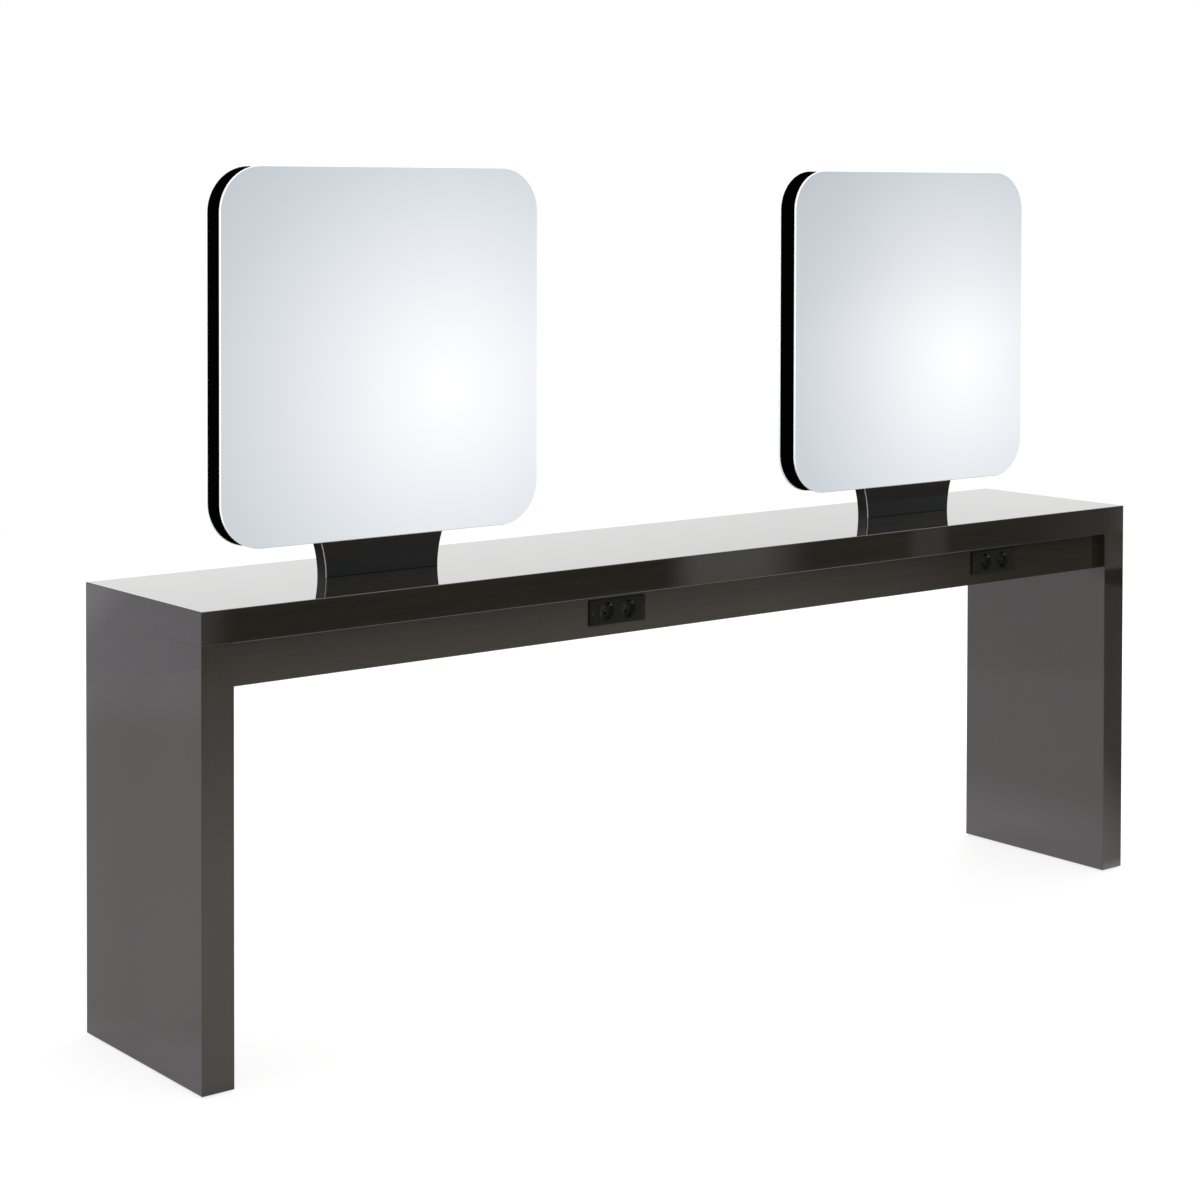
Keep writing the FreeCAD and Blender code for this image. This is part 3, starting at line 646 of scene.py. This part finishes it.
def raisedScrew(name, head, rise, shank):
    # a dome over a short cone, with a cross cut into it: half the head times the sine of a
    # quarter turn, at a level that goes down with one less the cosine
    angle = np.linspace(0, 1, screw["domeSteps"] + 1) * math.pi / 2
    shape = [(head / 2 * math.sin(a), -rise + rise * screw["dome"] * (1 - math.cos(a)))
             for a in angle]
    shape += [(head / 2, 0), (shank / 2, screw["neck"]), (shank / 2, screw["reach"]),
              (0, screw["reach"])]
    thing = piece(name, meshFrom(name, turned(shape, screw["around"])), ["blackScrew"], smooth=30)
    length, width = (head * share for share in screw["cross"])
    bars = [block(*size, -rise - screw["clear"], -rise * screw["crossLeft"],
                  radius=screw["crossCorner"]) for size in ((length, width), (width, length))]
    carve(thing, merged("cross", bars))
    tidyMesh(thing.data)
    return thing


housing, paintedLightRecessFaces = socketHousing()
plateScrew = raisedScrew("plateScrewMaster", *screw["plate"])
centreScrew = raisedScrew("centreScrewMaster", *screw["centre"])
depth = socket["plate"][2]
rowsOfScrews = ((plateScrew, screw["spacing"], -depth, screw["plateTwists"]),
                (centreScrew, socket["pitch"], socket["floor"], screw["centreTwists"]))
for name in ("front_left", "front_right", "rear_left", "rear_right"):
    low, high, middle = corners(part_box(f"socket_{name}_housing"))
    facing = 0 if name.startswith("front") else 180
    wall = low[1] + depth if facing == 0 else high[1] - depth
    place = (middle[0], wall, middle[2])
    shell = piece(f"socketHousing_{name}", moved(housing.data, place, 2, facing),
                  ["socket", "recess"])
    # the recess faces take the paler black, painted light against their shade
    chooseFinish(shell, paintedLightRecessFaces)
    finish(shell, "station", "socket_black", f"socket_{name}_housing")
    spots = [moved(master.data, (sign * apart / 2, level, 0), 1, twist)
             for master, apart, level, twists in rowsOfScrews
             for sign, twist in zip((-1, 1), twists)]
    screws = piece(f"socketScrews_{name}", moved(merged("screws", spots), place, 2, facing),
                   ["blackScrew"], smooth=30)
    finish(screws, "station", "screw_steel")
for master in (housing, plateScrew, centreScrew):
    bpy.data.objects.remove(master)
print("socket modules ready")


glide = {"pitch": 1.25 * mm, "threadDepth": 0.6 * mm, "around": 32, "perTurn": 8,
         "bevel": 0.8 * mm}


def threadedStud(name, node, body):
    # radius = crest less depth times how far (height / pitch - angle) is from its nearest turn
    low, high, middle = corners(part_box(node))
    crest = (high[0] - low[0]) / 2
    rows = int((high[2] - low[2]) / glide["pitch"] * glide["perTurn"])
    level = np.linspace(low[2], high[2], rows)
    angle = angles(glide["around"])
    phase = (level[:, None] / glide["pitch"] - angle / (2 * math.pi)) % 1
    radius = crest - glide["threadDepth"] * np.abs(2 * phase - 1)
    fromEnd = np.minimum(level - low[2], high[2] - level)
    radius = np.minimum(radius, crest - glide["bevel"] + fromEnd[:, None])
    rings = np.stack([middle[0] + radius * np.cos(angle), middle[1] + radius * np.sin(angle),
                      np.broadcast_to(level[:, None], radius.shape)], axis=-1)
    thing = piece(name, meshFrom(name, rings), ["screw"], smooth=50)
    finish(thing, body, "screw_steel", node)


for row in ("front", "rear"):
    for side in ("left", "right"):
        threadedStud(f"glideStud_{row}_{side}", f"glide_{row}_{side}_stud", f"glide_{row}_{side}")
print("glides ready")


# the coach bolts under the anchors' flanges
bolt = {
    "spacing": 200 * mm, "flats": 13 * mm, "head": 5.3 * mm, "around": 48,
    # the head's crown: the hexagon cut back to this radius, at this height above the crown's top
    "crown": ((6.0 * mm, 0.0), (6.6 * mm, 0.35 * mm), (7.6 * mm, 0.9 * mm)),
    "washer": (8 * mm, 4.3 * mm, 1.5 * mm),    # outer and inner radius, and thickness
}


def hexOutline(flats, around):
    # at each angle round it, half the flats over the cosine of the turn from the nearest side
    angle = angles(around)
    reach = flats / 2 / np.cos((angle + math.pi / 6) % (math.pi / 3) - math.pi / 6)
    return np.stack([reach * np.cos(angle), reach * np.sin(angle)], axis=1)


def coachBolt(x, y, top):
    # a head with a rounded crown below a washer, hanging from the flange: each ring is the
    # hexagon, cut back to the crown's radius at that level
    outer, inner, thickness = bolt["washer"]
    flat = hexOutline(bolt["flats"], bolt["around"])
    size = np.linalg.norm(flat, axis=1, keepdims=True)
    seat = top - thickness
    crown = [(limit, seat - bolt["head"] + level) for limit, level in bolt["crown"]]
    rings = []
    for limit, level in crown + [(crown[-1][0], seat)]:
        ring = flat * np.minimum(1, limit / size)
        rings.append(np.column_stack([ring[:, 0] + x, ring[:, 1] + y, np.full(len(ring), level)]))
    head = meshFrom("boltHead", np.array(rings))
    disc = turned([(inner, seat), (outer, seat), (outer, top), (inner, top)], bolt["around"],
                  axis=2)
    return [head, moved(meshFrom("washer", disc, closed=True), (x, y, 0))]


for side in ("left", "right"):
    low, _, middle = corners(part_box(f"anchor_{side}"))
    parts = [mesh for sign in (-1, 1)
             for mesh in coachBolt(middle[0] + sign * bolt["spacing"] / 2, middle[1], low[2])]
    bolts = piece(f"anchorBolts_{side}", merged("bolts", parts), ["screw"], smooth=30)
    finish(bolts, "station", "screw_steel")
print("anchor bolts ready")


# the floor, the studio's walls, which only reflections see, the lamps and the camera, in metres
alongX, alongY, upwards = (1, 0, 0), (0, 1, 0), (0, 0, 1)
studio = {
    # anticlockwise, with a corner cut away on the right of the front wall
    "floor": ((-7, -4.2), (4.8, -4.2), (4.8, -3.1), (5.3, -3.5), (9, -3.5), (9, 7), (-7, 7)),
    "floorFaces": [(0, 1, 2, 6), (2, 3, 4, 5, 6)],
    "paper": (0.42, 0.42, 0.42, 1),
    "paperLift": 0.75, "paperBounce": 0.7,    # what the paper adds for the camera and for light
    "front": -3.5, "rear": 3.5, "left": -4.0, "right": 9.0, "sideHeight": 3.0, "sideLevel": 0.85,
    "rearGap": 0.05,                          # the rear walls stand this far before the backdrop
    "frontSpan": (-8, 9), "rearSpan": (-9, -0.2), "rearLowSpan": (-0.2, 9), "backdropSpan": (9, -8),
    "wallFoot": 0.405, "wallHead": 2.6,       # the front wall's glow starts above a dark skirting
    "paperEdge": 0.159, "skirting": 0.285, "rearLowHead": 1.25, "backdropHead": 4.2,
    "ceiling": [(-3, -2.2, 3), (6, -2.2, 3), (6, 0.5, 3), (-3, 0.5, 3)], "ceilingLevel": 2.8,
    "wallLevel": 1.14, "skirtingLevel": 0.09, "pale": (1.4, 1.4, 1.4, 1),
    "glowPlaces": (1.824, 4.590), "glowHeight": 0.9395, "glowSize": (1.40, 1.18),
    "glow": ((0.04, "#FEFEFE"), (0.3, "#F0F2F5"), (0.72, "#D4DADF"), (1.0, "#C6CCD3")),
    "warm": "#FFF6EE",
    "world": 0.68, "skyHeight": 0.05, "sky": (0.1, 0.75),    # even light, and the sky in gloss
    "camera": (-3.5970, -4.2848, 1.6723), "cameraTurn": (88.6472, -0.1360, -38.5655),
    "lens": 75.683, "sensor": 36.0, "shift": -0.2905,
}
# each row: the direction, from where and to where along it, and the level at both
tones = {
    # a little less on the left of each glow
    "studioFrontWall": ((alongX, 0.6, 2.0, 0.925, 1.0), (alongX, 2.3, 3.3, 1.0, 0.91),
                        (alongX, 3.3, 4.8, 1.0, 1.1)),
    # the right glow is a little weaker in its upper half
    "frontUpper": ((alongX, 3.3, 4.0, 1.0, 0.95), (upwards, 1.0, 1.4, 1.0, 0.95)),
    # the rear wall pales upwards on its right part, where a white backdrop goes on, and at its
    # left part's foot
    "rearAbove": ((alongX, -1.7, -0.4, 0.0, 1.0), (upwards, 0.95, 1.25, 0.0, 1.0)),
    "rearBelow": ((alongX, -0.9, 0.4, 1.0, 0.0), (upwards, 0.405, 0.8, 1.0, 0.0)),
    # the backdrop is dimmer to the right, where a low view makes the worktop shine more
    "studioBackdrop": ((alongX, 0.0, 5.6, 1.68, 1.3), (alongX, 3.4, 5.2, 1.0, 1.08),
                       (upwards, 2.1, 4.2, 1.0, 0.5)),
    # below the front wall: the paper's turned-up edge, the skirting's light slots, a dim ledge
    "studioPaperEdge": ((upwards, 0.0, 0.16, 0.92, 0.62), (alongX, 0.74, 0.6, 1.0, 0.86),
                        (alongX, 3.05, 3.75, 1.0, 0.71), (alongX, 3.7, 4.6, 1.0, 0.28),
                        (alongX, 5.085, 5.12, 1.0, 3.3)),
    "studioSkirting": ((alongX, 0.55, 0.71, 0.48, 0.0), (alongX, 2.55, 2.75, 0.0, 0.85),
                       (alongX, 3.0, 3.36, 0.0, -0.81), (alongX, 3.86, 3.94, 0.0, 0.28),
                       (alongX, 4.06, 4.14, 0.0, -0.28), (alongX, 4.5, 5.1, 0.0, 0.16),
                       (alongX, 5.1, 5.25, 0.0, 0.3)),
    "studioLedge": ((alongX, 2.0, 3.6, 0.45, 0.36),),
    "studioRearFoot": (((1, 0, 1), -2.85, -2.64, 1.12, 1.5),),
    # the floor before and behind the station, as reflections see it
    "near": ((alongY, -3.5, -1.0, 0.4, 1.12), ((1, 0.89, 0), 1.0, 1.34, 1.0, 0.0)),
    "nearRight": ((alongX, 5.3, 6.4, 0.0, 0.5),),
    "far": (((1, 0.55, 0), -1.12, -0.8, 0.64, 1.33), ((1, -0.55, 0), -1.6, -1.38, 0.0, 0.15),
            (alongX, 0.6, 1.05, 0.0, 0.5), ((1, 0.55, 0), -1.2, -1.42, 0.0, 0.09),
            ((-1, 1, 0), 5.2, 6.3, 0.0, 0.16)),
    "farRight": ((alongX, 1.3, 1.8, 1.0, 0.28),),
    "behind": ((alongY, -0.3, -0.24, 0.0, 1.0),),
}
lamps = {
    # the place, what it points at, the size and the power in watts
    "keyLight": ((3.4, 1.2, 4.2), (0, 0, 0.4), (2.2, 2.2), 95.0),
    "fillLight": ((-0.8, -4.6, 3.0), (0, 0, 0.5), (2.5, 2.5), 52.0),
}


def fade(tree, direction, low, high, start, end):
    # a level that goes smoothly from start to end between two distances along a direction
    where = addNode(tree, "ShaderNodeTexCoord")
    along = addNode(tree, "ShaderNodeVectorMath", {0: where.outputs["Object"], 1: direction},
                    operation="DOT_PRODUCT")
    return addNode(tree, "ShaderNodeMapRange",
                   {"Value": along.outputs["Value"], "From Min": low, "From Max": high,
                    "To Min": start, "To Max": end}, interpolation_type="SMOOTHSTEP").outputs[0]


def folded(tree, operation, name, level=None):
    # the fades of a row of tones as one level, such as their product or their sum
    for row in tones[name]:
        step = fade(tree, *row)
        if level is not None:
            step = addNode(tree, "ShaderNodeMath", {0: level, 1: step},
                           operation=operation).outputs[0]
        level = step
    return level


def card(name, points, strength=1.0, colour="#FFFFFF"):
    # a glowing panel that only reflections see
    mesh = bpy.data.meshes.new(name)
    mesh.from_pydata(points, [], [(0, 1, 2, 3)])
    thing = newObject(name, mesh)
    material = bpy.data.materials.new(name)
    tree = emptyTree(material)
    glow = addNode(tree, "ShaderNodeEmission", {"Color": linear(colour), "Strength": strength})
    addNode(tree, "ShaderNodeOutputMaterial", {"Surface": glow.outputs[0]})
    mesh.materials.append(material)
    thing.visible_camera = thing.visible_diffuse = thing.visible_shadow = False
    return tree, glow


def upright(x0, x1, y, z0, z1):
    # a wall across the view: its four corners, all at the same y
    return [(x0, y, z0), (x1, y, z0), (x1, y, z1), (x0, y, z1)]


def sideWall(x, y0, y1, top):
    # a wall at one end, from the floor up: its four corners, all at the same x
    return [(x, y0, 0), (x, y1, 0), (x, y1, top), (x, y0, top)]


def tonedCard(name, points, operation, colour="#FFFFFF", level=None):
    # a card whose glow follows the tones of the same name
    tree, glow = card(name, points, colour=colour)
    tree.links.new(folded(tree, operation, name, level), glow.inputs["Strength"])


def glowWall(name, y, places, span, z0, z1):
    # a pale wall with a round glow at each place, brightest in the middle and cooler outwards:
    # the colour follows the distance to the nearest glow, in shares of its width and height
    tree, glow = card(name, upright(*span, y, z0, z1), studio["wallLevel"])
    where = addNode(tree, "ShaderNodeTexCoord")
    width, height = studio["glowSize"]
    nearest = 10.0            # farther than any glow
    for x in places:
        offset = addNode(tree, "ShaderNodeVectorMath",
                         {0: where.outputs["Object"], 1: (x, y, studio["glowHeight"])},
                         operation="SUBTRACT")
        scaled = addNode(tree, "ShaderNodeVectorMath",
                         {0: offset.outputs[0], 1: (1 / width, 0, 1 / height)},
                         operation="MULTIPLY")
        reach = addNode(tree, "ShaderNodeVectorMath", {0: scaled.outputs[0]}, operation="LENGTH")
        nearest = addNode(tree, "ShaderNodeMath", {0: nearest, 1: reach.outputs["Value"]},
                          operation="MINIMUM").outputs[0]
    ramp = addNode(tree, "ShaderNodeValToRGB", {"Fac": nearest})
    setStops(ramp, studio["glow"])
    tree.links.new(ramp.outputs["Color"], glow.inputs["Color"])
    return tree, glow, ramp.outputs["Color"]


front, rear, left, right = (studio[side] for side in ("front", "rear", "left", "right"))
foot, head, warm = studio["wallFoot"], studio["wallHead"], studio["warm"]
rearWall = rear - studio["rearGap"]
tree, glow, _ = glowWall("studioFrontWall", front, studio["glowPlaces"], studio["frontSpan"],
                         foot, head)
level = folded(tree, "MULTIPLY", "studioFrontWall", studio["wallLevel"])
upper = folded(tree, "MAXIMUM", "frontUpper")
level = addNode(tree, "ShaderNodeMath", {0: level, 1: upper}, operation="MULTIPLY").outputs[0]
tree.links.new(level, glow.inputs["Strength"])

rearPlaces = [sign * x for sign in (-1, 1) for x in studio["glowPlaces"]]
for name, span, z0, z1 in (("studioRearWall", "rearSpan", foot, head),
                           ("studioRearLow", "rearLowSpan", 0, studio["rearLowHead"])):
    tree, glow, shade = glowWall(name, rearWall, rearPlaces, studio[span], z0, z1)
    above = folded(tree, "MULTIPLY", "rearAbove")
    below = folded(tree, "MULTIPLY", "rearBelow")
    pale = addNode(tree, "ShaderNodeMath", {0: above, 1: below}, operation="MAXIMUM").outputs[0]
    whiter = addNode(tree, "ShaderNodeMix", {"Factor": pale, 6: shade, 7: studio["pale"]},
                     data_type="RGBA")
    tree.links.new(whiter.outputs[2], glow.inputs["Color"])

tonedCard("studioBackdrop", upright(*studio["backdropSpan"], rear, 0, studio["backdropHead"]),
          "MULTIPLY")
card("studioLeftWall", sideWall(left, rear, front, studio["sideHeight"]), studio["sideLevel"])
card("studioRightWall", sideWall(right, front, rear, studio["sideHeight"]), studio["sideLevel"])
card("studioCeiling", studio["ceiling"], studio["ceilingLevel"])
span, paperEdge, skirting = studio["frontSpan"], studio["paperEdge"], studio["skirting"]
tonedCard("studioPaperEdge", upright(*span, front, 0, paperEdge), "MULTIPLY", warm)
tonedCard("studioSkirting", upright(*span, front, paperEdge, skirting), "ADD", "#FFFBF9",
          studio["skirtingLevel"])
tonedCard("studioLedge", upright(*span, front, skirting, foot), "MULTIPLY", warm)
tonedCard("studioRearFoot", upright(*studio["rearSpan"], rearWall, 0, foot), "MULTIPLY", "#FCF9FF")

# the floor: white paper that reflections see in two zones, and that shows only its shadows
floorMesh = bpy.data.meshes.new("studioFloor")
floorMesh.from_pydata([(x, y, 0) for x, y in studio["floor"]], [], studio["floorFaces"])
floor = newObject("studioFloor", floorMesh)
floorMaterial = bpy.data.materials.new("studioPaper")
tree = emptyTree(floorMaterial)
rays = addNode(tree, "ShaderNodeLightPath")
paper = addNode(tree, "ShaderNodeBsdfDiffuse", {"Color": studio["paper"]})
bounced = addNode(tree, "ShaderNodeMath",
                  {0: rays.outputs["Is Diffuse Ray"], 1: studio["paperBounce"]},
                  operation="MULTIPLY")
seen = addNode(tree, "ShaderNodeMath",
               {0: rays.outputs["Is Camera Ray"], 1: studio["paperLift"], 2: bounced.outputs[0]},
               operation="MULTIPLY_ADD")
lift = addNode(tree, "ShaderNodeEmission", {"Strength": seen.outputs[0]})
near = folded(tree, "ADD", "nearRight", folded(tree, "MULTIPLY", "near"))
far = folded(tree, "MULTIPLY", "farRight", folded(tree, "ADD", "far"))
behind = folded(tree, "MULTIPLY", "behind")
zone = addNode(tree, "ShaderNodeMix", {"Factor": behind, 2: near, 3: far}, data_type="FLOAT")
tint = addNode(tree, "ShaderNodeMix", {"Factor": behind, 6: linear(warm), 7: linear("#FFF6FC")},
               data_type="RGBA")
shown = addNode(tree, "ShaderNodeMath", {0: rays.outputs["Is Glossy Ray"], 1: zone.outputs[0]},
                operation="MULTIPLY")
sheen = addNode(tree, "ShaderNodeEmission",
                {"Color": tint.outputs[2], "Strength": shown.outputs[0]})
both = addNode(tree, "ShaderNodeAddShader", {0: paper.outputs[0], 1: lift.outputs[0]})
both = addNode(tree, "ShaderNodeAddShader", {0: both.outputs[0], 1: sheen.outputs[0]})
addNode(tree, "ShaderNodeOutputMaterial", {"Surface": both.outputs[0]})
floorMesh.materials.append(floorMaterial)

# the world: white to the camera, even light on the object, and darker near the horizon in gloss
world = bpy.data.worlds.new("studioWorld")
bpy.context.scene.world = world
tree = emptyTree(world)
rays = addNode(tree, "ShaderNodeLightPath")
direction = addNode(tree, "ShaderNodeTexCoord")
height = addNode(tree, "ShaderNodeSeparateXYZ", {"Vector": direction.outputs["Generated"]})
lowest, highest = studio["sky"]
sky = addNode(tree, "ShaderNodeMapRange",
              {"Value": height.outputs["Z"], "From Min": 0.0, "From Max": studio["skyHeight"],
               "To Min": lowest, "To Max": highest})
seen = addNode(tree, "ShaderNodeMath",
               {0: rays.outputs["Is Camera Ray"], 1: rays.outputs["Is Transmission Ray"]},
               operation="MAXIMUM")
mirrored = addNode(tree, "ShaderNodeMix",
                   {"Factor": rays.outputs["Is Glossy Ray"], 2: studio["world"],
                    3: sky.outputs[0]}, data_type="FLOAT")
strength = addNode(tree, "ShaderNodeMix",
                   {"Factor": seen.outputs[0], 2: mirrored.outputs[0], 3: 1.0},
                   data_type="FLOAT")
background = addNode(tree, "ShaderNodeBackground",
                     {"Color": (1, 1, 1, 1), "Strength": strength.outputs[0]})
addNode(tree, "ShaderNodeOutputWorld", {"Surface": background.outputs[0]})

for name, (place, target, size, power) in lamps.items():
    lamp = bpy.data.lights.new(name, "AREA")
    lamp.shape, lamp.size, lamp.size_y, lamp.energy = "RECTANGLE", size[0], size[1], power
    thing = newObject(name, lamp)
    thing.location = place
    aim = np.array(target) - np.array(place)
    thing.rotation_euler = (math.atan2(math.hypot(aim[0], aim[1]), -aim[2]), 0,
                            math.atan2(aim[1], aim[0]) - quarterTurn)
    thing.visible_glossy = False

camera = bpy.data.cameras.new("camera")
camera.lens, camera.sensor_width = studio["lens"], studio["sensor"]
camera.shift_y = studio["shift"]
view = newObject("camera", camera)
view.location = studio["camera"]
view.rotation_euler = [math.radians(angle) for angle in studio["cameraTurn"]]
bpy.context.scene.camera = view
bpy.context.scene.view_settings.view_transform = "Standard"
print("studio ready")
